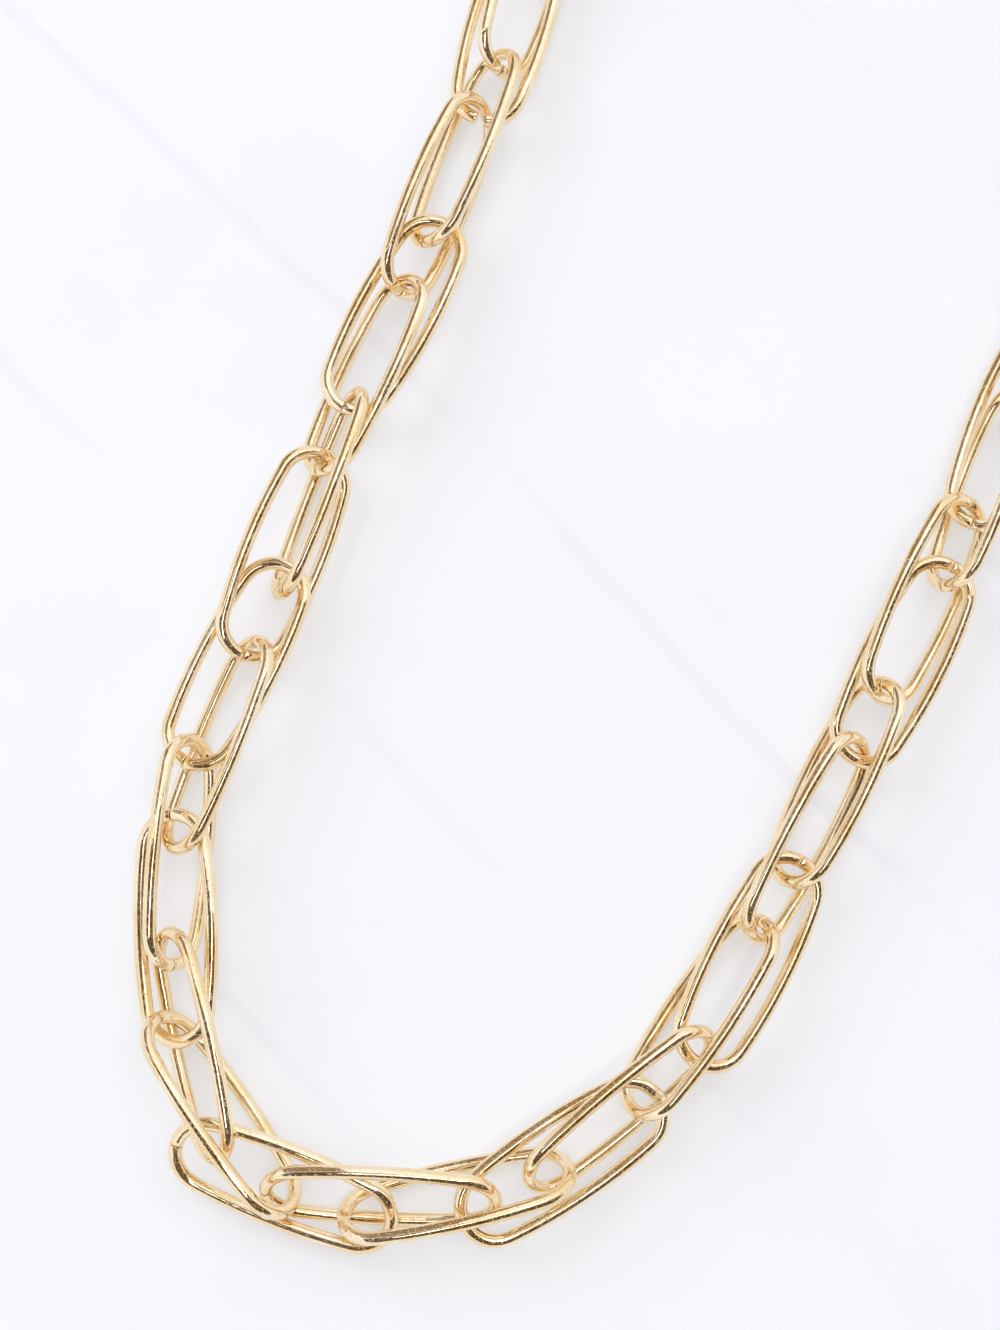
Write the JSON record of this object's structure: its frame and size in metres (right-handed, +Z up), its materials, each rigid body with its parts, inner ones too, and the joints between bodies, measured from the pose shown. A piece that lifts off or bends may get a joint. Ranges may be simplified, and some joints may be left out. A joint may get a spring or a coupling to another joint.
{
  "type": "infinity link chain necklace",
  "caption": "Closed gold-coloured necklace of long oval wire links, each passed through the next and hooked into the one after, laid on a surface with its clasp at the back.",
  "frame": {"origin": "on the surface the chain lies on, under the middle of its outline", "axes": "+Z up from the surface, +Y from the front of the chain to the clasp at its back"},
  "size_m": [0.1126, 0.1678, 0.0088],
  "materials": {
    "gold": "polished gold plate"
  },
  "bodies": {
    "root": {"link_01": "gold", "link_02": "gold", "link_03": "gold", "link_04": "gold", "link_05": "gold", "link_06": "gold", "link_07": "gold", "link_08": "gold", "link_09": "gold", "link_10": "gold", "link_11": "gold", "link_12": "gold", "link_13": "gold", "link_14": "gold", "link_15": "gold", "link_16": "gold", "link_17": "gold", "link_18": "gold", "link_19": "gold", "link_20": "gold", "link_21": "gold", "link_22": "gold", "link_23": "gold", "link_24": "gold", "link_25": "gold", "link_26": "gold", "link_27": "gold", "link_28": "gold", "link_29": "gold", "link_30": "gold", "link_31": "gold", "link_32": "gold", "link_33": "gold", "link_34": "gold", "link_35": "gold", "link_36": "gold", "link_37": "gold", "link_38": "gold", "clasp": "gold"}
  },
  "joints": []
}
